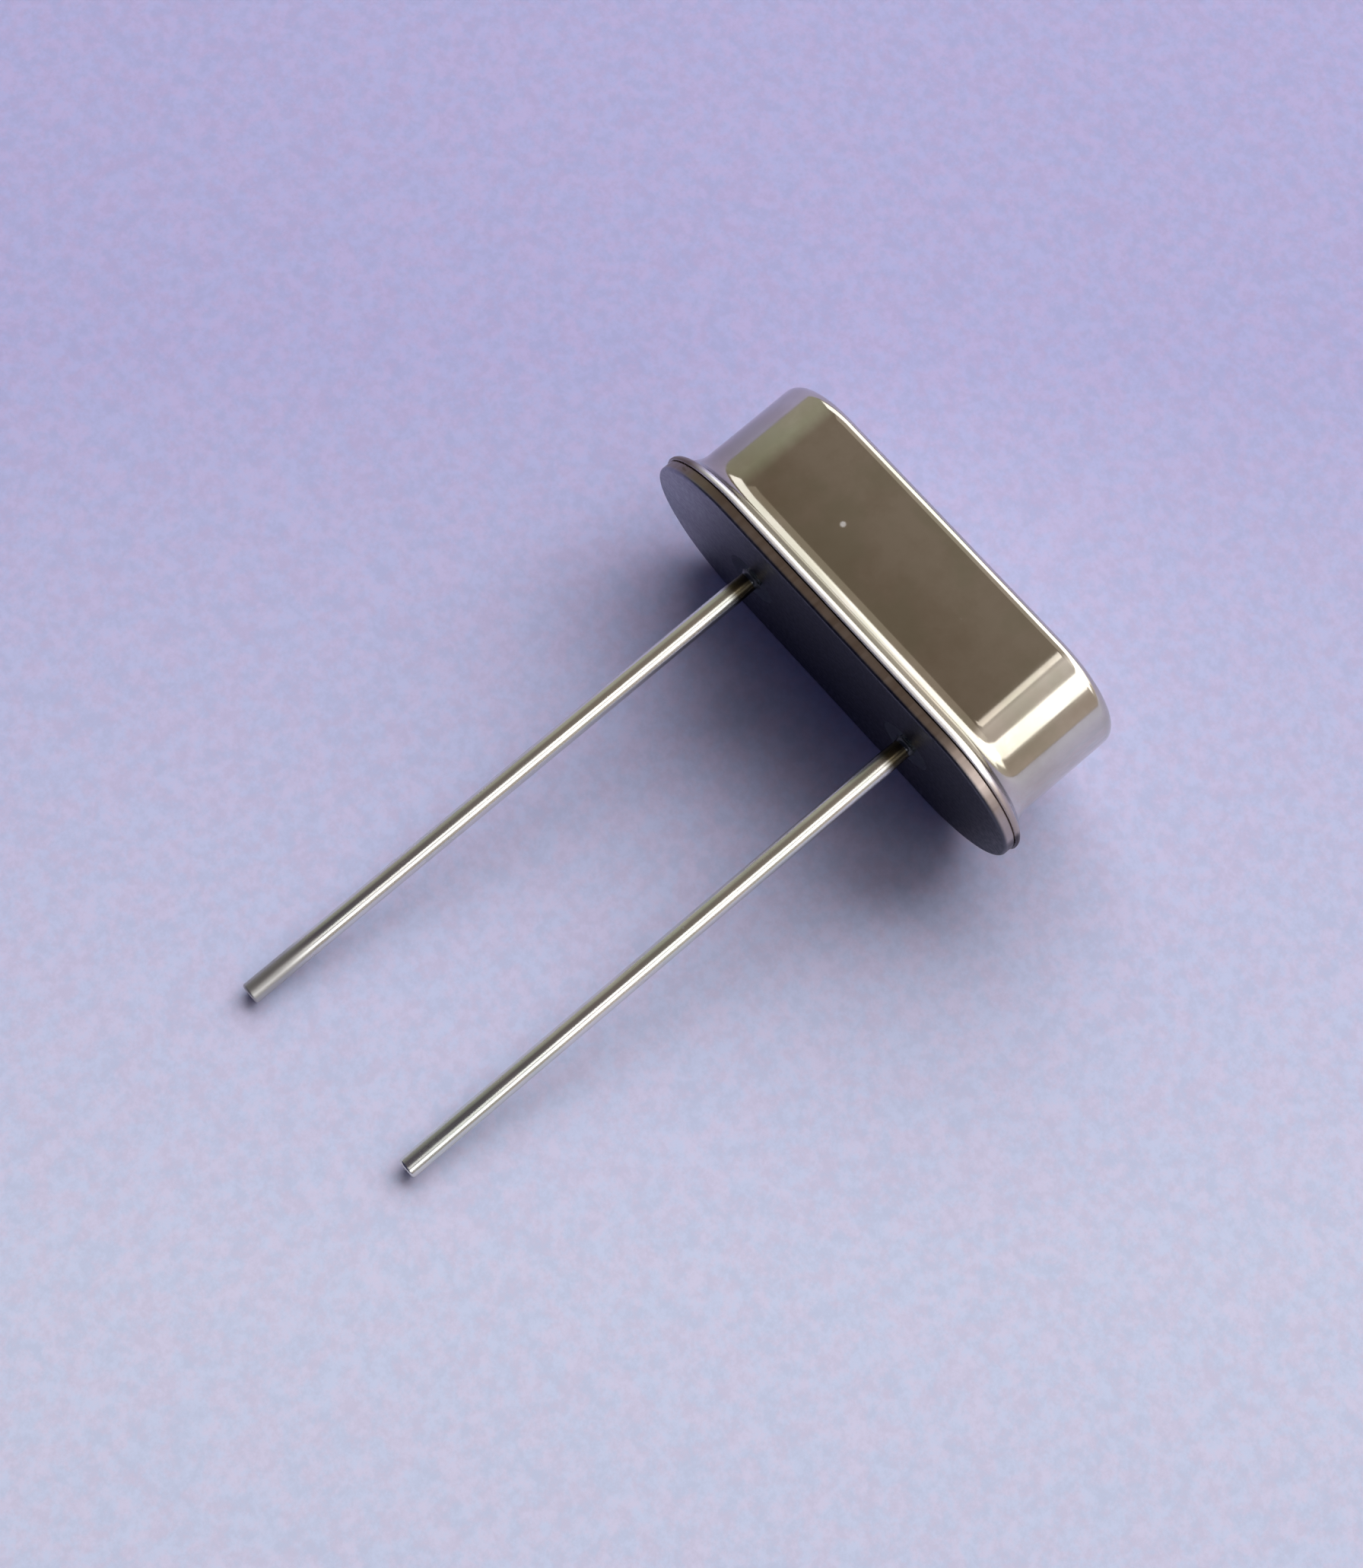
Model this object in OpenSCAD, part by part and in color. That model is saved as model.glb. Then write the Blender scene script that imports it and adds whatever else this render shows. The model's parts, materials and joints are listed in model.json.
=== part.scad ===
// Quartz crystal unit in a low welded metal case with two wire leads.
//
// Every piece is drawn standing: X along the case, Y across it, Z from the underside
// of the base (Z = 0) to the closed end of the cover, with the leads below zero.
// lay() then puts the whole unit on its side, the way it comes to rest on a table:
// on the edge of its flange and on the tip of its longer lead.
// Lying, X is still the long way of the case, +Y points at the closed end, and +Z is up.

/* [Case] */
// Overall length, over the flange
flange_l = 11.05; // [9.2:0.05:14]
// Overall width, over the flange
flange_w = 4.65; // [3.8:0.05:6]
// Height from the underside of the base to the closed end
case_h = 3.5; // [2.9:0.05:4.5]
// Reach of the flange past the side wall of the cover
rim_w = 0.45; // [0.35:0.01:0.6]

/* [Cover] */
// Sheet thickness of the drawn cover
wall_t = 0.15; // [0.12:0.01:0.25]
// Outer rounding of the closed end
top_r = 0.3; // [0.26:0.01:0.5]
// Inner rounding of the closed end
top_inner_r = 0.1; // [0.05:0.01:0.2]
// Hollow rounding where the wall flares into the flange
root_r = 0.62; // [0.45:0.01:0.7]
// Rounding of the flange's outer edge
edge_r = 0.15; // [0.12:0.01:0.2]
// Straight height of the flange's outer edge
edge_h = 0.04; // [0.04:0.01:0.1]
// Rounding of the mouth, inside the flange
mouth_r = 0.4; // [0.2:0.01:0.45]

/* [Base] */
// Thickness of the base's own flange
base_flange_t = 0.28; // [0.2:0.01:0.4]
// Height of the raised middle that holds the glass
base_h = 0.85; // [0.6:0.05:1.1]
// Gap between the raised middle and the inside of the cover
base_fit = 0.06; // [0.03:0.01:0.15]
// How far the base's flange stays inside the cover's
base_inset = 0.05; // [0.04:0.01:0.08]
// Rounding of the base flange's lower edge
base_edge_r = 0.07; // [0.03:0.01:0.1]
// Rounding of the raised middle's upper edge
base_top_r = 0.12; // [0.05:0.01:0.2]
// Half height of the groove left round the weld
seam_r = 0.035; // [0.02:0.005:0.05]

/* [Glass seals] */
// Diameter of each glass seal
seal_d = 1.3; // [1:0.05:1.6]
// Height that the glass climbs up the wire at both ends
meniscus = 0.1; // [0.05:0.01:0.15]

/* [Leads] */
// Distance between the two leads
lead_pitch = 4.88; // [4:0.02:5.9]
// Diameter of a tinned lead
lead_d = 0.48; // [0.43:0.01:0.55]
// Diameter of the bare wire in the glass and in the case
wire_d = 0.45; // [0.4:0.01:0.5]
// Length of the left lead, from the underside of the base to its cut tip
lead_left_l = 13.6; // [5:0.1:20]
// Length of the right lead
lead_right_l = 13.4; // [5:0.1:20]
// Length over which the tin runs out below the glass
tin_runout = 0.56; // [0.54:0.01:1]
// Rounding of the cut tip
tip_r = 0.06; // [0.02:0.01:0.15]
// Height of the wire's inner end above the base
post_h = 0.25; // [0.16:0.01:0.4]

/* [Crystal] */
// Thickness of the quartz strip
blank_t = 0.18; // [0.08:0.01:0.4]
// Gap between each end of the strip and the cover
end_gap = 0.925; // [0.6:0.005:1.2]
// Gap between the strip's upper edge and the cover
head_gap = 0.25; // [0.1:0.01:0.4]
// Height of the strip's lower edge above the inner end of the wires
blank_lift = 0.22; // [0.16:0.01:0.4]

/* [Electrodes] */
// Thickness of the silver film
film_t = 0.02; // [0.01:0.005:0.03]
// Length of the driven area
pad_l = 4.2; // [3:0.1:5]
// Bare margin above and below the driven area
pad_margin = 0.28; // [0.15:0.01:0.35]
// Width of the strip of silver that runs to one end
tab_w = 0.7; // [0.4:0.05:0.8]

/* [Clips] */
// Sheet thickness of the spring clips
clip_t = 0.1; // [0.08:0.01:0.13]
// Width of a clip
clip_w = 1.1; // [0.9:0.05:1.4]
// Inner bend radius of a clip
bend_r = 0.08; // [0.05:0.01:0.12]
// How far the quartz strip reaches past a clip
clip_in = 0.35; // [0.25:0.01:0.4]
// Height of the two prongs above the strip's lower edge
prong_h = 1.05; // [0.9:0.05:1.2]
// Gap each side of the strip in a clip's slot
slot_fit = 0.04; // [0.035:0.005:0.06]

/* [Adhesive] */
// Radius of each drop of conductive adhesive
drop_r = 0.42; // [0.4:0.01:0.44]

/* [Hidden] */
$fn = 96;

LEFT = -1;
RIGHT = 1;
FRONT = -1; // the side that faces up when the unit lies down
BACK = 1;

// The outline of the case is a straight run between two half circles. Cover, flange and
// base all share the same run, so each differs from the others only in its half width.
run = flange_l - flange_w;
flange_half = flange_w / 2;
cover_half = flange_half - rim_w;
cavity_half = cover_half - wall_t;
cavity_top = case_h - wall_t;
base_half = flange_half - base_inset;
seat_z = base_flange_t;

// The flare is two arcs that touch: a round edge below and a hollow root above.
edge_z = seat_z + edge_h;
flare_angle = acos(max(0, 1 - rim_w / (root_r + edge_r)));
edge_centre = [flange_half - edge_r, edge_z];
root_centre = [cover_half + root_r, edge_z + (root_r + edge_r) * sin(flare_angle)];

// The quartz strip hangs in the clips, which stand on the inner ends of the wires.
post_z = base_h + post_h;
blank_z = post_z + blank_lift;
blank_half = run / 2 + cavity_half - end_gap;
blank_h = cavity_top - head_gap - blank_z;
clip_x = blank_half - clip_in;
drop_z = blank_z + prong_h / 2;

// Rest: the table touches the round edge of the longer tip and the lower edge of the
// flange. That is the cover's edge or the base's, whichever lifts the flange more.
tip_centre = [lead_d / 2 - tip_r, tip_r - max(lead_left_l, lead_right_l)];
cover_edge = [flange_half - seam_r, seat_z + seam_r];
base_edge = [base_half - base_edge_r, base_edge_r];
function lean(edge, r) =
    let(step = edge - tip_centre) atan2(step[0], step[1]) + asin((r - tip_r) / norm(step));
function lift(edge, r, a) = edge[0] * cos(a) - edge[1] * sin(a) + r;
tilt = max(lean(cover_edge, seam_r), lean(base_edge, base_edge_r));
rest_z = max(lift(cover_edge, seam_r, tilt), lift(base_edge, base_edge_r, tilt));
// The closed end and the longer lead's tip are the two ends of the unit along Y.
top_centre = [cover_half - top_r, case_h - top_r];
closed_end_y = top_centre[0] * sin(tilt) + top_centre[1] * cos(tilt) + top_r;
tip_end_y = tip_centre[1] * cos(tilt) - tip_centre[0] * sin(tilt) - tip_r;

// Lays the standing unit on its side, centred over the origin, with the table at Z = 0.
module lay() {
    translate([0, -(closed_end_y + tip_end_y) / 2, rest_z]) rotate([tilt - 90, 0, 0]) children();
}

// Sweeps a half section round the case's outline. The section's X is the distance from
// the middle of the outline, and its Y is the height.
module racetrack() {
    translate([run / 2, 0, 0]) rotate([0, 0, -90]) rotate_extrude(angle = 180) children();
    translate([-run / 2, 0, 0]) rotate([0, 0, 90]) rotate_extrude(angle = 180) children();
    rotate([90, 0, 90]) linear_extrude(run, center = true) {
        children();
        mirror([1, 0]) children();
    }
}

// What rounding takes off the corner of a section. The corner is at the origin and its
// material reaches down and to the left.
module corner_cut(r) {
    difference() {
        translate([-r, -r]) square(2 * r);
        translate([-r, -r]) circle(r);
        translate([-2 * r, -2 * r]) square([3 * r, r]);
        translate([-2 * r, -2 * r]) square([r, 3 * r]);
    }
}

// Half section of the space inside a round-cornered box: half width, floor, ceiling, rounding.
module rounded_half(half, low, high, r) {
    difference() {
        translate([0, low]) square([half, high - low]);
        translate([half, high]) corner_cut(r);
    }
}

module flare_section() {
    translate([0, seat_z]) square([flange_half, edge_h]);
    intersection() {
        translate(edge_centre) circle(edge_r);
        translate([0, edge_z]) square([flange_half, edge_r]);
    }
    difference() {
        polygon([[0, edge_z], edge_centre, root_centre, [0, root_centre[1]]]);
        translate(root_centre) circle(root_r);
    }
}

module cover_section() {
    difference() {
        union() {
            rounded_half(cover_half, seat_z, case_h, top_r);
            flare_section();
        }
        rounded_half(cavity_half, 0, cavity_top, top_inner_r);
        translate([cavity_half, seat_z]) mirror([1, 0]) mirror([0, 1]) corner_cut(mouth_r);
        translate([flange_half, seat_z]) mirror([0, 1]) corner_cut(seam_r);
    }
}

// The drawn cover: closed end, straight walls and the flange that is welded to the base.
module cover() {
    color([0.42, 0.38, 0.33]) lay() racetrack() cover_section();
}

module base_section() {
    difference() {
        union() {
            square([base_half, seat_z]);
            rounded_half(cavity_half - base_fit, 0, base_h, base_top_r);
        }
        translate([base_half, seat_z]) corner_cut(seam_r);
        translate([base_half, 0]) mirror([0, 1]) corner_cut(base_edge_r);
    }
}

// The base: a thin flange round a raised middle, with one hole for each glass seal.
module base_plate() {
    color([0.36, 0.33, 0.3]) lay() difference() {
        racetrack() base_section();
        for (side = [LEFT, RIGHT])
            translate([side * lead_pitch / 2, 0, -1]) cylinder(h = base_h + 2, d = seal_d);
    }
}

// The hollow fillet of glass against the wire, at the height of the glass's face.
module meniscus_section() {
    difference() {
        translate([wire_d / 2, 0]) square(meniscus);
        translate([wire_d / 2 + meniscus, meniscus]) circle(meniscus);
    }
}

// A glass bead, fused to the rim of its hole and to the wire that runs through it.
module glass_seal(side) {
    color([0.1, 0.11, 0.1]) lay() translate([side * lead_pitch / 2, 0, 0]) rotate_extrude() {
        translate([wire_d / 2, 0]) square([(seal_d - wire_d) / 2, base_h]);
        translate([0, base_h]) meniscus_section();
        mirror([0, 1]) meniscus_section();
    }
}

// A straight wire. Its bare inner end holds the clip, and the tin starts below the glass.
module lead_section(length) {
    tin_z = -meniscus - tin_runout;
    difference() {
        polygon([
            [0, post_z], [wire_d / 2, post_z], [wire_d / 2, -meniscus],
            [lead_d / 2, tin_z], [lead_d / 2, -length], [0, -length]
        ]);
        translate([lead_d / 2, -length]) mirror([0, 1]) corner_cut(tip_r);
    }
}

module lead(side) {
    color([0.8, 0.79, 0.75]) lay() translate([side * lead_pitch / 2, 0, 0])
        rotate_extrude() lead_section(side == LEFT ? lead_left_l : lead_right_l);
}

// Side view of the clip on the right: a foot on the wire, a bend and an upright.
module clip_section() {
    outer_r = bend_r + clip_t;
    foot_x = lead_pitch / 2 - wire_d;
    translate([foot_x, post_z]) square([clip_x + clip_t - outer_r - foot_x, clip_t]);
    translate([clip_x, post_z + outer_r]) square([clip_t, blank_lift - outer_r + prong_h]);
    translate([clip_x + clip_t - outer_r, post_z + outer_r]) intersection() {
        difference() {
            circle(outer_r);
            circle(bend_r);
        }
        translate([0, -outer_r]) square(outer_r);
    }
}

// A spring clip. The quartz strip stands on the floor of its slot, between two prongs.
module clip(side) {
    slot_w = blank_t + 2 * slot_fit;
    color([0.74, 0.7, 0.58]) lay() mirror([side == LEFT ? 1 : 0, 0, 0]) difference() {
        rotate([90, 0, 0]) linear_extrude(clip_w, center = true) clip_section();
        translate([clip_x - clip_t, -slot_w / 2, blank_z]) cube([3 * clip_t, slot_w, 2 * prong_h]);
    }
}

module blank_shape() {
    translate([-blank_half, -blank_t / 2, blank_z]) cube([2 * blank_half, blank_t, blank_h]);
}

// The quartz strip, standing on its long edge.
module quartz_blank() {
    color([0.86, 0.9, 0.92]) lay() blank_shape();
}

// One silver film: the driven area in the middle, and a tab that runs to the right end.
module film_shape(face) {
    tab_z = (blank_h - tab_w) / 2;
    translate([0, face * (blank_t + film_t) / 2, blank_z]) rotate([90, 0, 0])
        linear_extrude(film_t, center = true) polygon([
            [-pad_l / 2, pad_margin], [pad_l / 2, pad_margin],
            [pad_l / 2, tab_z], [blank_half, tab_z],
            [blank_half, tab_z + tab_w], [pad_l / 2, tab_z + tab_w],
            [pad_l / 2, blank_h - pad_margin], [-pad_l / 2, blank_h - pad_margin]
        ]);
}

// The front film's tab runs to the left clip and the back film's to the right clip.
module electrode(face, side) {
    color([0.82, 0.82, 0.84]) lay() mirror([side == LEFT ? 1 : 0, 0, 0]) film_shape(face);
}

// A drop of conductive adhesive that holds the end of the strip to its clip.
module adhesive(side) {
    color([0.62, 0.6, 0.56]) lay() mirror([side == LEFT ? 1 : 0, 0, 0]) difference() {
        translate([clip_x + clip_t, 0, drop_z]) sphere(drop_r);
        translate([clip_x + clip_t - 2 * drop_r, -drop_r, drop_z - drop_r])
            cube([2 * drop_r, 2 * drop_r, 2 * drop_r]);
        blank_shape();
        film_shape(side == LEFT ? FRONT : BACK);
    }
}

cover();
base_plate();
glass_seal(LEFT);  // glass_seal_left
glass_seal(RIGHT);  // glass_seal_right
lead(LEFT);  // lead_left
lead(RIGHT);  // lead_right
clip(LEFT);  // clip_left
clip(RIGHT);  // clip_right
quartz_blank();
electrode(FRONT, LEFT);  // electrode_front
electrode(BACK, RIGHT);  // electrode_back
adhesive(LEFT);  // adhesive_left
adhesive(RIGHT);  // adhesive_right
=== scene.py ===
import json
import math

import bpy
from mathutils import Matrix, Vector
from mathutils.geometry import tessellate_polygon


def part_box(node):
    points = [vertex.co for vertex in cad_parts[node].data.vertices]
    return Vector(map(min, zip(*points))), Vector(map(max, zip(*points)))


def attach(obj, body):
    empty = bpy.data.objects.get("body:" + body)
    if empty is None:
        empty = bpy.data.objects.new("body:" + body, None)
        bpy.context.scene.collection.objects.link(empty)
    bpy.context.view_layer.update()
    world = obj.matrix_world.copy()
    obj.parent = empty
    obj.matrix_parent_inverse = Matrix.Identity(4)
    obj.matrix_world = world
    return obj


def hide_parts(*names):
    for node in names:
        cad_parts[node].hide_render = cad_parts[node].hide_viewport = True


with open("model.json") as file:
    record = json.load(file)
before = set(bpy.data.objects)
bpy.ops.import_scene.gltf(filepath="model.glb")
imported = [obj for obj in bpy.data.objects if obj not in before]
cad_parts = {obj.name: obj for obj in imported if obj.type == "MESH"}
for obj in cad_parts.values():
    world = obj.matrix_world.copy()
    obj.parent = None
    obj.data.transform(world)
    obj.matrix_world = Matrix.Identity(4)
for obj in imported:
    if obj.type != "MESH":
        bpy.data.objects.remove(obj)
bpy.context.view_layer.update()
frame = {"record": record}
mounts = {m["name"]: m for m in frame["record"]["mounts"]}

MM = 1000  # millimetres in a metre

# The standing frame: the case's own axes, with X along it, Y across it and Z from the
# underside of the base to the closed end. The seating plane's mount is its origin.
seat = mounts["seating_plane"]
up = -Vector(seat["axis"]).normalized()
along = Vector((1, 0, 0))
TURN = Matrix((along, up.cross(along), up)).transposed()
ORIGIN = Vector(seat["pos_m"]) * MM

# Where each lead stands along the case.
sides = {name[5:]: m["pos_m"][0] * MM for name, m in mounts.items() if name.startswith("lead")}

# Sizes in millimetres, as in the CAD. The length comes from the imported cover.
low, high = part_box("cover")
flange_l = (high.x - low.x) * MM
case_h = 3.5
flange_w = 4.65
rim_w = 0.45
wall_t = 0.15
top_r = 0.3
top_inner_r = 0.1
root_r = 0.62
edge_r = 0.15
edge_h = 0.04
mouth_r = 0.4
base_t = 0.28
base_h = 0.85
base_fit = 0.06
base_inset = 0.05
base_edge_r = 0.07
base_top_r = 0.12
seam_r = 0.035
seal_d = 1.3
meniscus = 0.1
wire_d = 0.45
tin_runout = 0.56
tip_r = 0.06
post_z = 1.1

run = flange_l - flange_w
flange_half = flange_w / 2
cover_half = flange_half - rim_w
cavity_half = cover_half - wall_t
cavity_top = case_h - wall_t
edge_z = base_t + edge_h
flare = math.acos(1 - rim_w / (root_r + edge_r))
root_z = edge_z + (root_r + edge_r) * math.sin(flare)


# ---------------------------------------------------------------- mesh code

class Skin:
    """Gathers faces with an exact normal at every corner, so that polished metal mirrors true."""

    def __init__(self):
        self.points, self.found, self.faces, self.normals = [], {}, [], []

    def point(self, p):
        key = tuple(round(c, 5) for c in p)
        if key not in self.found:
            self.found[key] = len(self.points)
            self.points.append((TURN @ Vector(p) + ORIGIN) / MM)
        return self.found[key]

    def face(self, corners):
        """corners: (point, normal) pairs in millimetres, standing. Corners that meet are one."""
        kept = []
        for p, n in corners:
            i = self.point(p)
            if i not in [k[0] for k in kept]:
                kept.append((i, (TURN @ Vector(n)).normalized()))
        if len(kept) < 3:
            return
        a, b, c, d = (self.points[kept[k][0]] for k in (0, 1, 2, -1))
        facing = (b - a).cross(c - b) + (c - b).cross(d - c)
        if facing.dot(sum((k[1] for k in kept), Vector())) < 0:
            kept.reverse()
        self.faces.append([k[0] for k in kept])
        self.normals += [k[1] for k in kept]

    def piece(self, name, stands_for):
        mesh = bpy.data.meshes.new(name)
        mesh.from_pydata(self.points, [], self.faces)
        mesh.normals_split_custom_set([tuple(n) for n in self.normals])
        o = bpy.data.objects.new(name, mesh)
        bpy.context.scene.collection.objects.link(o)
        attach(o, "root")
        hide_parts(stands_for)
        return o


def arc(cx, cz, r, start, end, steps, hollow=False):
    """Points of a section's rounding, each with its normal. Angles are in degrees."""
    side = -1 if hollow else 1
    found = []
    for k in range(steps + 1):
        a = math.radians(start + (end - start) * k / steps)
        c, s = math.cos(a), math.sin(a)
        found.append((cx + r * c, cz + r * s, side * c, side * s))
    return found


def line(r0, z0, r1, z1, nr, nz, steps=1):
    """Points of a straight stretch of a section, each with its normal."""
    found = []
    for k in range(steps + 1):
        found.append((r0 + (r1 - r0) * k / steps, z0 + (z1 - z0) * k / steps, nr, nz))
    return found


def stations(half_run, steps):
    """Middle and direction of each station round a racetrack. With no run it is a circle."""
    found = []
    for x, start in ((half_run, -90), (-half_run, 90)):
        found += [(x, math.radians(start + 180 * k / steps)) for k in range(steps + 1)]
    return found


def sweep(skin, section, half_run=0.0, middle=0.0, steps=96):
    """Sweeps a half section, given as smooth stretches, round the racetrack or circle."""
    path = stations(half_run, steps)

    def corner(at, s):
        x, a = at
        r, z, nr, nz = s
        c, d = math.cos(a), math.sin(a)
        return (middle + x + r * c, r * d, z), (nr * c, nr * d, nz)

    for stretch in section:
        for s, t in zip(stretch, stretch[1:]):
            for here, there in zip(path, path[1:] + path[:1]):
                skin.face([corner(here, s), corner(there, s), corner(there, t), corner(here, t)])


def ring(r, z, half_run=0.0, middle=0.0, steps=96):
    """The points of a sweep's edge, with none twice."""
    points = []
    for x, a in stations(half_run, steps):
        p = Vector((middle + x + r * math.cos(a), r * math.sin(a), z))
        if not points or min((p - points[-1]).length, (p - points[0]).length) > 1e-6:
            points.append(p)
    return points


def flat(skin, loops, nz):
    """Fills a flat face with holes: the first loop is its outline."""
    points = [p for loop in loops for p in loop]
    for triangle in tessellate_polygon(loops):
        skin.face([(points[i], (0, 0, nz)) for i in triangle])


# ---------------------------------------------------------------- pieces

def make_cover():
    """The drawn can, from its closed end down its side and flange, and up again inside."""
    skin = Skin()
    top, mouth = case_h - top_r, cavity_half + mouth_r
    flare_end = math.degrees(flare)
    inner_r = cavity_half - top_inner_r
    inner_z = cavity_top - top_inner_r
    sweep(skin, [
        line(0, case_h, cover_half - top_r, case_h, 0, 1),
        arc(cover_half - top_r, top, top_r, 90, 0, 14),
        line(cover_half, top, cover_half, root_z, 1, 0, 6),
        arc(cover_half + root_r, root_z, root_r, 180, 180 + flare_end, 16, hollow=True),
        arc(flange_half - edge_r, edge_z, edge_r, flare_end, 0, 16),
        line(flange_half, edge_z, flange_half, base_t + seam_r, 1, 0),
        arc(flange_half - seam_r, base_t + seam_r, seam_r, 0, -90, 5),
        line(flange_half - seam_r, base_t, mouth, base_t, 0, -1),
        arc(mouth, base_t + mouth_r, mouth_r, 270, 180, 12),
        line(cavity_half, base_t + mouth_r, cavity_half, inner_z, -1, 0),
        arc(inner_r, inner_z, top_inner_r, 0, 90, 6, hollow=True),
        line(inner_r, cavity_top, 0, cavity_top, 0, -1),
    ], run / 2)
    return skin.piece("drawn_cover", "cover")


def make_base():
    """The base, whose middle stands up into the can, with a hole for each bead."""
    skin = Skin()
    middle_half, base_half = cavity_half - base_fit, flange_half - base_inset
    sweep(skin, [
        arc(middle_half - base_top_r, base_h - base_top_r, base_top_r, 90, 0, 8),
        line(middle_half, base_h - base_top_r, middle_half, base_t, 1, 0),
        line(middle_half, base_t, base_half - seam_r, base_t, 0, 1),
        arc(base_half - seam_r, base_t - seam_r, seam_r, 90, 0, 5),
        line(base_half, base_t - seam_r, base_half, base_edge_r, 1, 0),
        arc(base_half - base_edge_r, base_edge_r, base_edge_r, 0, -90, 8),
    ], run / 2)
    holes = sides.values()
    for x in holes:
        sweep(skin, [line(seal_d / 2, 0, seal_d / 2, base_h, -1, 0)], middle=x, steps=32)
    for r, z, nz in ((middle_half - base_top_r, base_h, 1), (base_half - base_edge_r, 0, -1)):
        loops = [ring(r, z, run / 2)] + [ring(seal_d / 2, z, middle=x, steps=32) for x in holes]
        flat(skin, loops, nz)
    return skin.piece("header", "base_plate")


def make_seal(side, x):
    """A glass bead, which creeps a little way along its wire at both faces."""
    skin = Skin()
    wire, bead = wire_d / 2, seal_d / 2
    sweep(skin, [
        arc(wire + meniscus, base_h + meniscus, meniscus, 180, 270, 6, hollow=True),
        line(wire + meniscus, base_h, bead, base_h, 0, 1),
        line(bead, base_h, bead, 0, 1, 0),
        line(bead, 0, wire + meniscus, 0, 0, -1),
        arc(wire + meniscus, -meniscus, meniscus, 90, 180, 6, hollow=True),
        line(wire, -meniscus, wire, base_h + meniscus, -1, 0),
    ], middle=x, steps=32)
    return skin.piece("bead_" + side, "glass_seal_" + side)


def make_lead(side, x):
    """A wire from its post inside the can to its cut tip, thicker from where it is tinned."""
    skin = Skin()
    pin = mounts["lead_" + side]["dims"]
    wire, tinned, tin_z = wire_d / 2, pin["r_mm"], -meniscus - tin_runout
    tip_z = tin_z - pin["length_mm"]
    sweep(skin, [
        line(0, post_z, wire, post_z, 0, 1),
        line(wire, post_z, wire, -meniscus, 1, 0, 4),
        line(wire, -meniscus, tinned, tin_z, 1, 0, 8),
        line(tinned, tin_z, tinned, tip_z, 1, 0, 120),
        arc(tinned - tip_r, tip_z, tip_r, 0, -90, 6),
        line(tinned - tip_r, tip_z - tip_r, 0, tip_z - tip_r, 0, -1),
    ], middle=x, steps=24)
    return skin.piece("wire_" + side, "lead_" + side)


cover = make_cover()
base = make_base()
beads = [make_seal(side, x) for side, x in sides.items()]
wires = [make_lead(side, x) for side, x in sides.items()]


# ---------------------------------------------------------------- shader code

def feed(tree, node, socket, value):
    """Links another node's output to a socket, or sets the socket to a value."""
    if isinstance(value, bpy.types.NodeSocket):
        tree.links.new(value, node.inputs[socket])
    else:
        node.inputs[socket].default_value = value


def add_node(tree, kind, settings=(), **inputs):
    """Adds a shader node. Its inputs are given by name, or as i and their number."""
    node = tree.nodes.new("ShaderNode" + kind)
    for name, value in dict(settings).items():
        setattr(node, name, value)
    for name, value in inputs.items():
        numbered = name[0] == "i" and name[1:].isdigit()
        feed(tree, node, int(name[1:]) if numbered else name, value)
    return node


class Paint:
    """A material made of nodes, whose patterns are laid out in the standing frame in mm."""

    def __init__(self, name, colour, roughness, metallic=1.0, **constants):
        self.material = bpy.data.materials.new(name)
        self.material.use_nodes = True
        self.tree = self.material.node_tree
        self.surface = self.tree.nodes["Principled BSDF"]
        self.relief = []  # (height socket, depth in micrometres)
        self.set("Base Color", (*colour, 1))
        self.set("Roughness", roughness)
        self.set("Metallic", metallic)
        for socket, value in constants.items():
            self.set(socket.replace("_", " "), value)
        self.here = self.node("TexCoord").outputs["Object"]
        back = TURN.transposed()
        self.mm = self.node(
            "Mapping", Vector=self.here, Scale=(MM, MM, MM), Rotation=tuple(back.to_euler()),
            Location=tuple(-(back @ ORIGIN)),
        ).outputs[0]

    def set(self, socket, value):
        """Sets or links a socket of the shader itself."""
        feed(self.tree, self.surface, socket, value)

    def node(self, kind, settings=(), **inputs):
        return add_node(self.tree, kind, settings, **inputs)

    def noise(self, scale, detail=3.0, stretch=(1, 1, 1), rough=0.5, at=(0, 0, 0)):
        """Smooth noise from 0 to 1, with scale in features per mm along each axis."""
        where = self.node("Mapping", Vector=self.mm, Scale=stretch, Location=at).outputs[0]
        return self.node("TexNoise", Vector=where, Scale=scale, Detail=detail,
                         Roughness=rough).outputs[0]

    def ramp(self, value, low, high, to_low=0.0, to_high=1.0):
        """Maps a value smoothly and clamped from one range to another."""
        return self.node("MapRange", {"interpolation_type": "SMOOTHSTEP"}, i0=value, i1=low,
                         i2=high, i3=to_low, i4=to_high).outputs[0]

    def band(self, value, rise, fall):
        """Is 1 between a smooth rise and a smooth fall. Each is (where it is 0, where it is 1)."""
        return self.math("MULTIPLY", self.ramp(value, *rise), self.ramp(value, *fall))

    def math(self, how, a, b=0.0):
        return self.node("Math", {"operation": how}, i0=a, i1=b).outputs[0]

    def mix(self, share, a, b, how="MIX"):
        """Blends two colours. Each is a socket or (r, g, b)."""
        a, b = (c if isinstance(c, bpy.types.NodeSocket) else (*c, 1) for c in (a, b))
        settings = {"data_type": "RGBA", "blend_type": how}
        return self.node("Mix", settings, i0=share, i6=a, i7=b).outputs[2]

    def axis(self, name, of=None):
        """One coordinate, standing in mm unless another vector is given."""
        vector = self.mm if of is None else of
        return self.node("SeparateXYZ", i0=vector).outputs["XYZ".index(name)]

    def colour(self, socket):
        self.set("Base Color", socket)

    def rough(self, socket):
        self.set("Roughness", socket)

    def wear(self, *objects):
        """Lays the relief on, layer by layer, and gives the objects this material."""
        normal = None
        for height, depth in self.relief:
            inputs = {"Height": height, "Distance": depth / 1e6, "Strength": 1.0}
            if normal:
                inputs["Normal"] = normal
            normal = self.node("Bump", **inputs).outputs[0]
        if normal:
            self.set("Normal", normal)
        for o in objects:
            o.data.materials.clear()
            o.data.materials.append(self.material)


# ---------------------------------------------------------------- materials

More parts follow.
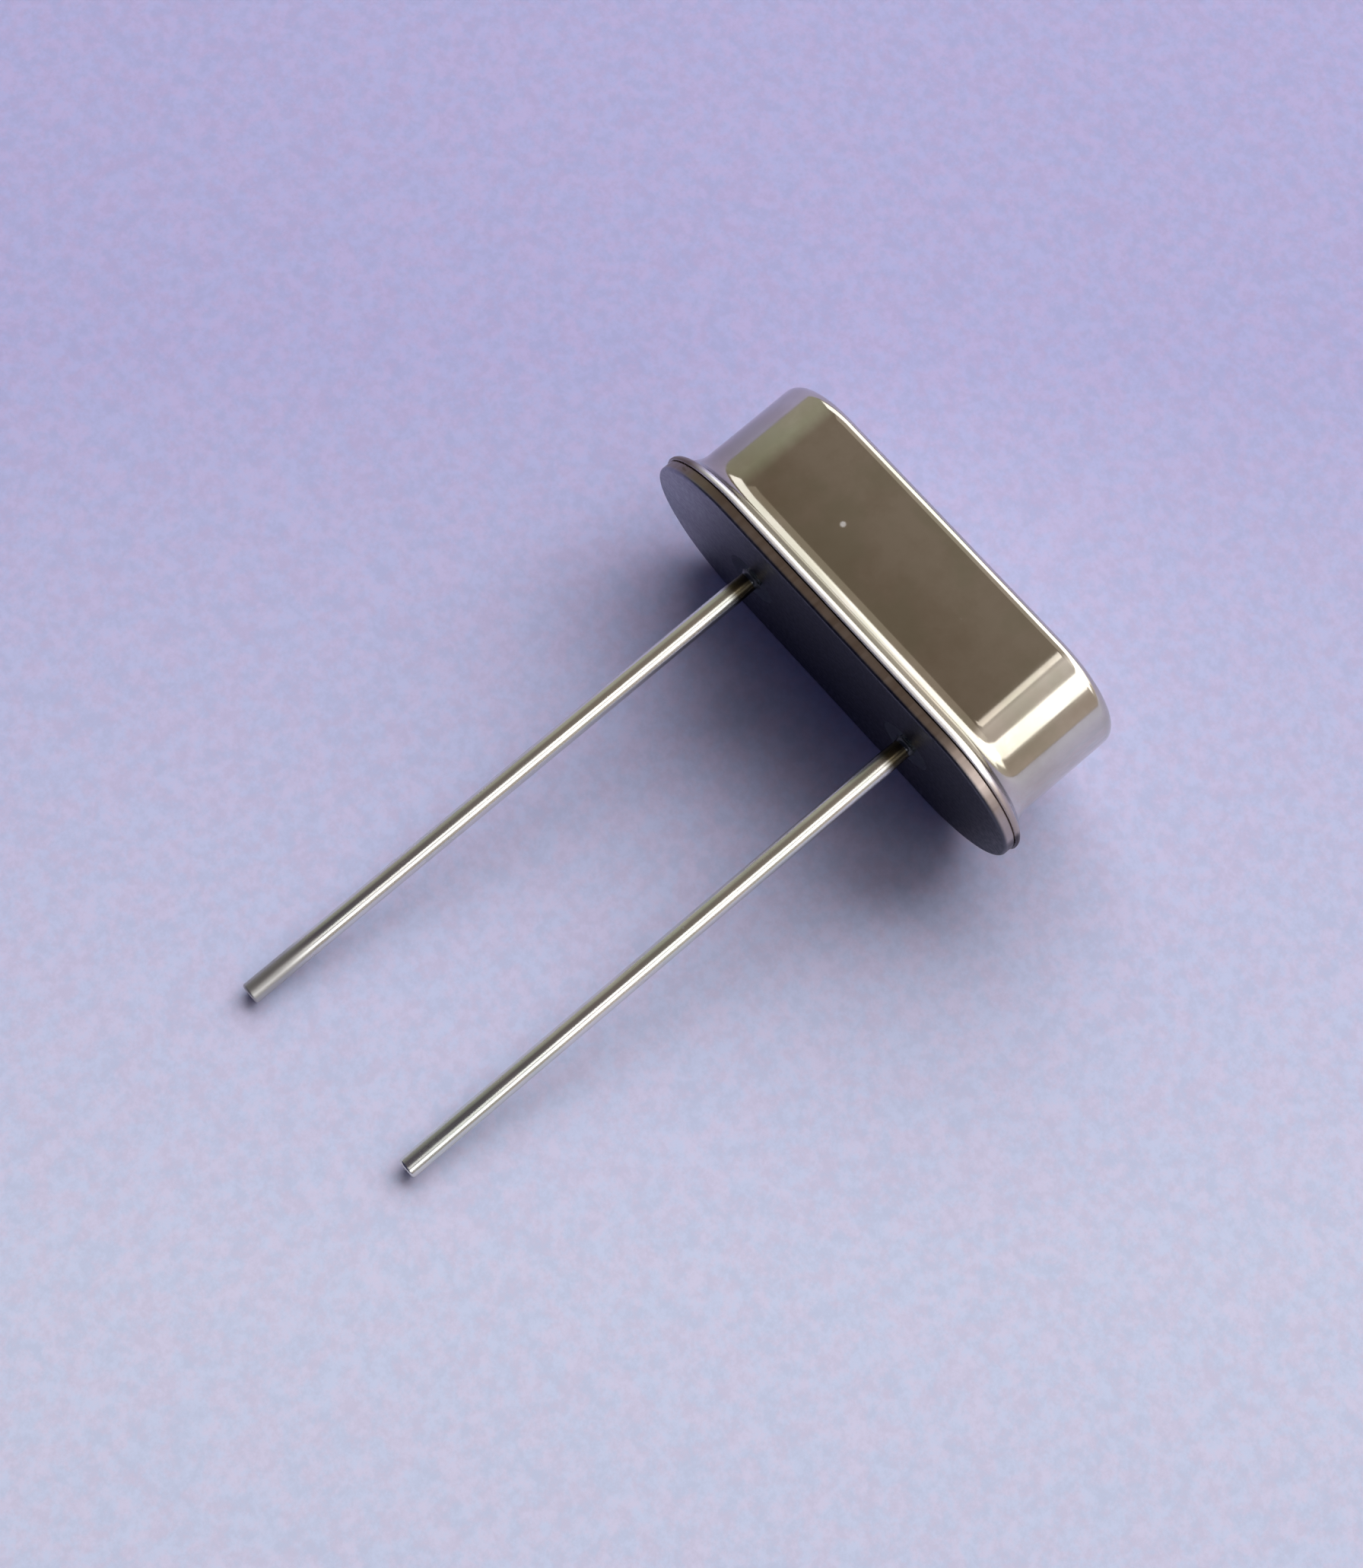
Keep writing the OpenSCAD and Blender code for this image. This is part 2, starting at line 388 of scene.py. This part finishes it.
def nickel(name, colour, tarnish, base_rough, wave):
    """Bright nickel plate: slight waves, fine draw marks, faint stains and a few scuffs."""
    p = Paint(name, colour, base_rough)
    marks = p.noise(1.0, 4, (9, 9, 0.35), 0.6)
    cloud = p.noise(0.8, 5, (1, 1, 1), 0.65, (3, 1, 7))
    grain = p.noise(14, 2, (1, 1, 1), 0.6)
    waves = p.noise(0.42, 1, (1, 1, 1.3), 0.4, (5, 2, 1))
    scuffs = p.ramp(p.noise(3.4, 1, (1, 1, 1.4), 0.4, (1, 8, 2)), 0.79, 0.83)
    haze = p.ramp(cloud, 0.35, 0.7)
    olive = p.ramp(p.noise(0.55, 3, (1, 1, 1), 0.6, (8, 3, 5)), 0.45, 0.6, 0.0, 0.5)
    tone = p.mix(haze, colour, tarnish)
    tone = p.mix(olive, tone, (tarnish[0] * 0.93, tarnish[1] * 1.03, tarnish[2] * 0.98))
    p.tone = p.mix(p.math("MULTIPLY", scuffs, 0.3), tone, (0.8, 0.77, 0.72))
    p.colour(p.tone)
    p.roughness = p.math(
        "ADD", p.ramp(marks, 0.3, 0.7, base_rough * 0.8, base_rough * 1.3),
        p.math("ADD", p.math("MULTIPLY", haze, 0.04), p.math("MULTIPLY", scuffs, 0.25)),
    )
    p.rough(p.roughness)
    p.relief = [(waves, wave), (marks, 0.12), (grain, 0.04)]
    return p


def heat_tint_and_painted_end(p):
    """The brown that the weld's heat left: dark at one end of the flange, greyer at the other,
    with painted shade at the very end, where the flange mirrors the dark shadow."""
    blotch = p.noise(1.6, 3, (1, 1, 1), 0.6, (2, 2, 2))
    brown = p.mix(blotch, (0.19, 0.14, 0.11), (0.29, 0.235, 0.195))
    grey = p.mix(blotch, (0.4, 0.33, 0.29), (0.5, 0.43, 0.39))
    tint = p.mix(p.ramp(p.axis("X"), 2.6, 4.9), brown, grey)
    # The very end is painted near-black as painted shade.
    return p.mix(p.ramp(p.axis("X"), 5.4, 5.47), tint, (0.06, 0.045, 0.05))


def paint_cover():
    p = nickel("cover_nickel", (0.66, 0.62, 0.55), (0.57, 0.52, 0.44), 0.09, 2.0)
    x, z = p.axis("X"), p.axis("Z")
    from_middle = p.math("ABSOLUTE", x)

    # The wall is darker towards the flange, but less so at its right end.
    low_wall = p.mix(p.ramp(x, 4.1, 4.7), (0.8, 0.77, 0.74), (0.98, 0.96, 0.94))
    wall = p.mix(p.ramp(z, 0.9, 3.1), low_wall, (1, 1, 1))
    # One small nick on the face.
    nick_at = (-1.57, -cover_half, 1.78)
    off_nick = p.node("Mapping", Vector=p.mm, Location=tuple(-c for c in nick_at)).outputs[0]
    distance = p.node("VectorMath", {"operation": "LENGTH"}, i0=off_nick).outputs["Value"]
    nick = p.ramp(distance, 0.095, 0.04)
    # The flange's edge carries a painted highlight, and the root above it painted shade.
    root_shade = p.band(z, (0.44, 0.47), (0.61, 0.56))
    edge_highlight = p.band(z, (0.275, 0.3), (0.46, 0.43))
    # The left end of the can is painted a little darker, as painted shade.
    left_end_shade = p.math("MULTIPLY", p.ramp(x, -4.2, -5.0), 0.3)
    # Heat tinted the rim along its seam, and higher up at its ends; the tint ends in painted shade
    # at the rim's right end.
    high_tint = p.math("MULTIPLY", p.ramp(from_middle, 4.0, 4.8), p.ramp(z, 0.52, 0.44))
    tinted = p.math("MAXIMUM", p.ramp(z, 0.28, 0.22), high_tint)

    shade = p.mix(1.0, p.tone, wall, "MULTIPLY")
    for share, colour in (
        (nick, (0.9, 0.88, 0.85)),
        # Painted shade darkens the root above the flange.
        (root_shade, (0.2, 0.18, 0.155)),
        # A painted highlight brightens the flange's edge.
        (edge_highlight, (0.93, 0.91, 0.89)),
        # Painted shade darkens the can's left end.
        (left_end_shade, (0.12, 0.11, 0.1)),
        (tinted, heat_tint_and_painted_end(p)),
    ):
        shade = p.mix(share, shade, colour)
    p.colour(shade)

    lip = p.math("MULTIPLY", edge_highlight, p.ramp(z, 0.33, 0.38, 0.42, 0.24))
    rim_rough = p.math("MAXIMUM", lip, p.math("MULTIPLY", tinted, 0.16))
    extra = p.math("ADD", p.math("MULTIPLY", nick, 0.4), rim_rough)
    p.rough(p.math("ADD", p.roughness, extra))

    # The drawn face isn't quite flat: it begins to fall away a little before the ends' rounding.
    fall_from, fall_ease, fall_slope = 2.8, 0.4, 0.042
    fall_depth = 1000.0  # the fall is worked out in mm, and depths are in micrometres
    past = p.math("SUBTRACT", from_middle, fall_from)
    eased = p.math("SQRT", p.math("ADD", p.math("MULTIPLY", past, past), fall_ease ** 2))
    fall = p.math("MULTIPLY", p.math("ADD", past, eased), -fall_slope / 2)
    p.relief.insert(0, (fall, fall_depth))
    p.wear(cover)


def paint_base():
    """The underside is dull and dark, painted darker still towards its right end as painted shade
    where it mirrors the shadow, and its edge is tinted as the rim is.
    """
    p = nickel("base_nickel", (0.27, 0.27, 0.31), (0.2, 0.2, 0.24), 0.34, 1.0)
    # Painted shade: the underside is painted darker towards its right end.
    underside_shade = p.mix(p.ramp(p.axis("X"), -4.6, -1.5), p.tone, (0.075, 0.075, 0.09))
    p.colour(p.mix(p.ramp(p.axis("Z"), 0.03, 0.12), underside_shade, heat_tint_and_painted_end(p)))
    p.wear(base)


def paint_leads():
    """The tin stops just short of the glass, and the leads were cropped after tinning."""
    p = nickel("lead_tin", (0.78, 0.765, 0.71), (0.71, 0.695, 0.64), 0.2, 0.6)
    x, z = p.axis("X"), p.axis("Z")
    bare = p.mix(p.noise(5, 2), (0.08, 0.065, 0.035), (0.15, 0.125, 0.08))
    bright = p.mix(p.ramp(z, -0.75, -0.45), p.tone, bare)
    # The last stretch of the left lead has gone dull.
    dull = p.math("MULTIPLY", p.ramp(z, -11.6, -12.9), p.ramp(x, 0.5, -0.5))
    bright = p.mix(dull, bright, (0.5, 0.49, 0.46))
    # Only a cut tip faces straight down.
    normal = p.node("NewGeometry").outputs["True Normal"]
    down = p.node("VectorMath", {"operation": "DOT_PRODUCT"}, i0=normal, i1=tuple(-up))
    cropped = p.ramp(down.outputs["Value"], 0.9, 0.98)
    p.colour(p.mix(cropped, bright, (0.42, 0.39, 0.36)))
    matt = p.math("MAXIMUM", cropped, dull)
    p.rough(p.math("ADD", p.roughness, p.math("MULTIPLY", matt, 0.25)))
    p.wear(*wires)


def paint_seals():
    """Dark fused glass with a slight swirl and a few bubbles."""
    p = Paint("seal_glass", (0.03, 0.035, 0.03), 0.12, 0.0, IOR=1.52)
    swirl = p.noise(1.1, 4, (1, 1, 2), 0.6, (4, 1, 2))
    bubbles = p.ramp(p.noise(11, 1, (1, 1, 1), 0.4, (6, 3, 1)), 0.72, 0.78)
    glass = p.mix(swirl, (0.012, 0.018, 0.016), (0.05, 0.06, 0.05))
    p.colour(p.mix(bubbles, glass, (0.13, 0.14, 0.12)))
    p.rough(p.math("ADD", p.ramp(swirl, 0.2, 0.8, 0.08, 0.2), p.math("MULTIPLY", bubbles, 0.2)))
    p.relief = [(swirl, 3.0), (bubbles, 1.5)]
    p.wear(*beads)


# The pieces inside the can are the CAD's own, with their materials laid on.

def inner(*names):
    meshes = [o for o in bpy.data.objects if o.type == "MESH"]
    return [o for o in meshes if o.name.split(".")[0] in names]


def paint_clips():
    p = nickel("clip_spring", (0.7, 0.66, 0.56), (0.6, 0.55, 0.44), 0.22, 0.8)
    p.wear(*inner("clip_left", "clip_right"))


def paint_blank():
    """Clear quartz, lapped and lightly etched."""
    p = Paint("quartz", (0.93, 0.95, 0.96), 0.2, 0.0, IOR=1.54, Transmission_Weight=0.85)
    etched = p.noise(16, 3, (1, 1, 1), 0.6)
    haze = p.noise(0.9, 4, (1, 1, 1), 0.6, (1, 5, 3))
    p.colour(p.mix(haze, (0.96, 0.97, 0.97), (0.85, 0.88, 0.9)))
    p.rough(p.ramp(haze, 0.3, 0.7, 0.16, 0.32))
    p.relief = [(etched, 0.6)]
    p.wear(*inner("quartz_blank"))


def paint_films():
    p = nickel("electrode_silver", (0.9, 0.89, 0.86), (0.8, 0.77, 0.7), 0.16, 0.2)
    p.wear(*inner("electrode_front", "electrode_back"))


def paint_adhesive():
    """Grey resin filled with silver flakes."""
    p = Paint("silver_adhesive", (0.5, 0.5, 0.49), 0.5, 0.4)
    flakes = p.noise(22, 2, (1, 1, 1), 0.7)
    flecks = p.ramp(flakes, 0.4, 0.7)
    p.colour(p.mix(flecks, (0.36, 0.355, 0.34), (0.72, 0.71, 0.69)))
    p.rough(p.ramp(flakes, 0.4, 0.7, 0.62, 0.3))
    p.relief = [(flakes, 4.0)]
    p.wear(*inner("adhesive_left", "adhesive_right"))


paint_cover()
paint_base()
paint_leads()
paint_seals()
paint_clips()
paint_blank()
paint_films()
paint_adhesive()


# ---------------------------------------------------------------- scene

def make_floor():
    """A sheet of lavender paper, faintly blotched, with painted light that makes it paler and
    greyer towards the leads' side.
    """
    half = 3  # metres
    corners = [(-half, -half, 0), (half, -half, 0), (half, half, 0), (-half, half, 0)]
    mesh = bpy.data.meshes.new("floor")
    mesh.from_pydata(corners, [], [(0, 1, 2, 3)])
    floor = bpy.data.objects.new("floor", mesh)
    bpy.context.scene.collection.objects.link(floor)

    p = Paint("pale_floor", (0.48, 0.5, 0.74), 0.9, 0.0)
    # Painted light pales the sheet along a slant: a point's place on it grows with X and drops with
    # Y, in metres.
    per_x, per_y, grey_end, pale_end = 780, 630, -11.75, 9.25
    place = p.math(
        "SUBTRACT", p.math("MULTIPLY", p.axis("X", p.here), per_x),
        p.math("MULTIPLY", p.axis("Y", p.here), per_y),
    )
    shade = p.node("MapRange", i0=place, i1=grey_end, i2=pale_end).outputs[0]
    sheet = p.mix(shade, (0.408, 0.402, 0.686), (0.560, 0.594, 0.798))
    hue = p.ramp(p.noise(2.2, 3, (1, 1, 1), 0.7), 0.36, 0.64)
    grain = p.ramp(p.noise(3.1, 4, (1, 1, 1), 0.75, (9, 4, 0)), 0.36, 0.64)
    for blotch in (
        p.mix(hue, (0.95, 1.01, 1.015), (1.05, 0.99, 0.985)),
        p.mix(grain, (0.95, 0.95, 0.955), (1.05, 1.05, 1.045)),
    ):
        sheet = p.mix(1.0, sheet, blotch, "MULTIPLY")
    p.colour(sheet)
    p.wear(floor)
    return floor


def softbox(name, azimuth, elevation, half_width, half_height, radiance, colour=(1, 1, 1)):
    """A rectangular lamp half a metre off that faces the part. All its angles are in degrees,
    and azimuth is from +X towards +Y."""
    a, e = math.radians(azimuth), math.radians(elevation)
    way = Vector((math.cos(a) * math.cos(e), math.sin(a) * math.cos(e), math.sin(e)))
    far = 0.5
    data = bpy.data.lights.new(name, "AREA")
    data.shape = "RECTANGLE"
    data.size = 2 * far * math.tan(math.radians(half_width))
    data.size_y = 2 * far * math.tan(math.radians(half_height))
    data.energy = radiance * math.pi * data.size * data.size_y
    data.color = colour
    o = bpy.data.objects.new(name, data)
    bpy.context.scene.collection.objects.link(o)
    o.location = way * far
    o.rotation_euler = (-way).to_track_quat("-Z", "Y").to_euler()
    o.visible_camera = False
    return o


def light_studio():
    """One lamp lights the floor and the shadow, and the rest are there for the metal to mirror."""
    overhead = softbox("overhead", 112, 48, 38, 22, 3.75, (1, 0.965, 0.93))
    overhead.visible_glossy = False
    mirrored = (
        softbox("window", 98, 24, 42, 16, 1.6, (0.93, 0.98, 1.04)),
        softbox("high_window", 98, 55, 30, 15, 0.2, (1, 0.95, 0.88)),
        softbox("side", 12, 40, 42, 12, 1.9, (0.98, 1, 1.04)),
        softbox("strip", 31, 79, 8, 3.4, 1.05, (1, 0.98, 0.96)),
        softbox("near_side", -10, 70, 6.5, 8, 2.0),
        softbox("corner", 50, 30, 15, 14, 1.2),
        softbox("near_window", 67, 29, 33, 14, 1.0, (0.96, 0.99, 1.0)),
    )
    for lamp in mirrored:
        lamp.visible_diffuse = False


def make_room():
    """The room round the table, from its left (-1) to its right (1), and dark behind the camera."""
    walls = [
        (-1.0, (0.42, 0.41, 0.36)), (-0.85, (0.4, 0.405, 0.33)), (-0.62, (0.24, 0.2, 0.165)),
        (0.1, (0.24, 0.2, 0.165)), (0.3, (0.82, 0.77, 0.75)), (0.9, (0.48, 0.42, 0.39)),
        (1.0, (0.5, 0.43, 0.395)),
    ]
    dark = (0.004, 0.008, 0.06, 1)
    world = bpy.data.worlds.new("studio")
    world.use_nodes = True
    tree = world.node_tree
    way = add_node(tree, "SeparateXYZ", i0=add_node(tree, "TexCoord").outputs["Generated"])
    share = add_node(tree, "MapRange", i0=way.outputs[0], i1=-1.0, i2=1.0)
    across = add_node(tree, "ValToRGB", i0=share.outputs[0])
    stops = across.color_ramp.elements
    for k, (x, colour) in enumerate(walls):
        place = (x + 1) / 2
        stop = stops[k] if k < 2 else stops.new(place)
        stop.position = place
        stop.color = (*colour, 1)
    ahead = add_node(tree, "MapRange", {"interpolation_type": "SMOOTHSTEP"}, i0=way.outputs[1],
                     i1=-0.2, i2=0.0, i3=0.08, i4=1.0)
    room = add_node(tree, "Mix", {"data_type": "RGBA"}, i0=ahead.outputs[0], i6=dark,
                    i7=across.outputs[0])
    feed(tree, tree.nodes["Background"], "Color", room.outputs[2])
    bpy.context.scene.world = world


def place_camera():
    """The camera stands where the photographer's did, and is turned about its line of sight."""
    camera_at = (TURN @ Vector((11.742, -50.958, -11.138)) + ORIGIN) / MM
    aim = (TURN @ Vector((-0.392, 1.707, -3.797)) + ORIGIN) / MM
    roll = math.radians(11.327)
    data = bpy.data.cameras.new("camera")
    data.sensor_fit = "VERTICAL"
    data.sensor_height = 24
    data.lens = 38.89
    data.clip_start = 0.001
    camera = bpy.data.objects.new("camera", data)
    bpy.context.scene.collection.objects.link(camera)
    ahead = (aim - camera_at).normalized()
    level = ahead.cross(Vector((0, 0, 1))).normalized()
    right = level * math.cos(roll) + level.cross(ahead) * math.sin(roll)
    camera.matrix_world = Matrix((right, right.cross(ahead), -ahead)).transposed().to_4x4()
    camera.location = camera_at
    bpy.context.scene.camera = camera


make_floor()
light_studio()
make_room()
place_camera()
bpy.context.scene.view_settings.view_transform = "Standard"
